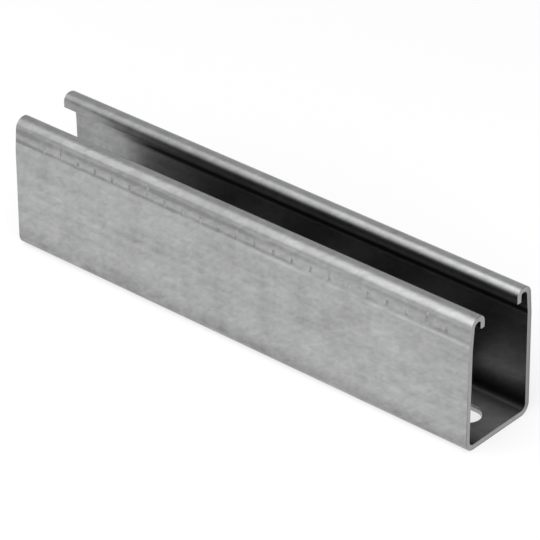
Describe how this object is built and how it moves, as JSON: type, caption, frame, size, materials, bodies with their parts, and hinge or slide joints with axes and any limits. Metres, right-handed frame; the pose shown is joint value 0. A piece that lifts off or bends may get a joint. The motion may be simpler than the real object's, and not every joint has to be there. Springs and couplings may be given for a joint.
{
  "type": "mounting rail",
  "caption": "Roll-formed C-section mounting rail with turned-in lips along an open mouth, and a row of long slots through its base for fixing it to a wall, ceiling or beam.",
  "frame": {"origin": "middle of the base's underside, halfway along the rail and halfway across it", "axes": "+X along the rail, +Y across it, +Z from the slotted base out of the open mouth"},
  "size_m": [0.249, 0.041, 0.062],
  "materials": {
    "galvanised_steel": "pre-galvanised strip, dull grey zinc with faint lines along the rail from rolling"
  },
  "bodies": {
    "root": {"rail": "galvanised_steel"}
  },
  "joints": []
}
